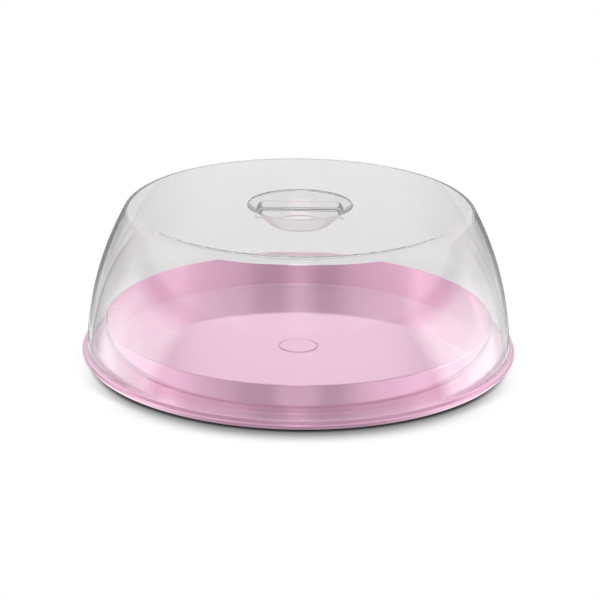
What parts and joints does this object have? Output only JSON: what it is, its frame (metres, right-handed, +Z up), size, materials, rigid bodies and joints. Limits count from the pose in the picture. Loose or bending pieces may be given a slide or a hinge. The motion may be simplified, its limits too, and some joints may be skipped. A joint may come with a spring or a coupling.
{
  "type": "cake carrier",
  "caption": "Round cake carrier: a low tray with an upright collar, a clear dome that lifts off, and a grip bar across a finger bowl in the dome's flat top.",
  "frame": {"origin": "on the table, under the middle of the tray's foot ring, on the axis of the tray and dome", "axes": "+Z up along the axis of the tray and dome, +X along the grip bar"},
  "size_m": [0.33, 0.33, 0.116],
  "materials": {
    "pink_gloss": "mirror-gloss pearl pink",
    "clear_plastic": "clear, polished"
  },
  "bodies": {
    "tray": {"base_tray": "pink_gloss"},
    "dome": {"dome_cover": "clear_plastic", "grip_bar": "clear_plastic"}
  },
  "joints": [
    {"name": "dome_lift", "type": "slide", "parent": "tray", "child": "dome", "axis": [0, 0, 1], "range_m": [0, 0.15]}
  ]
}
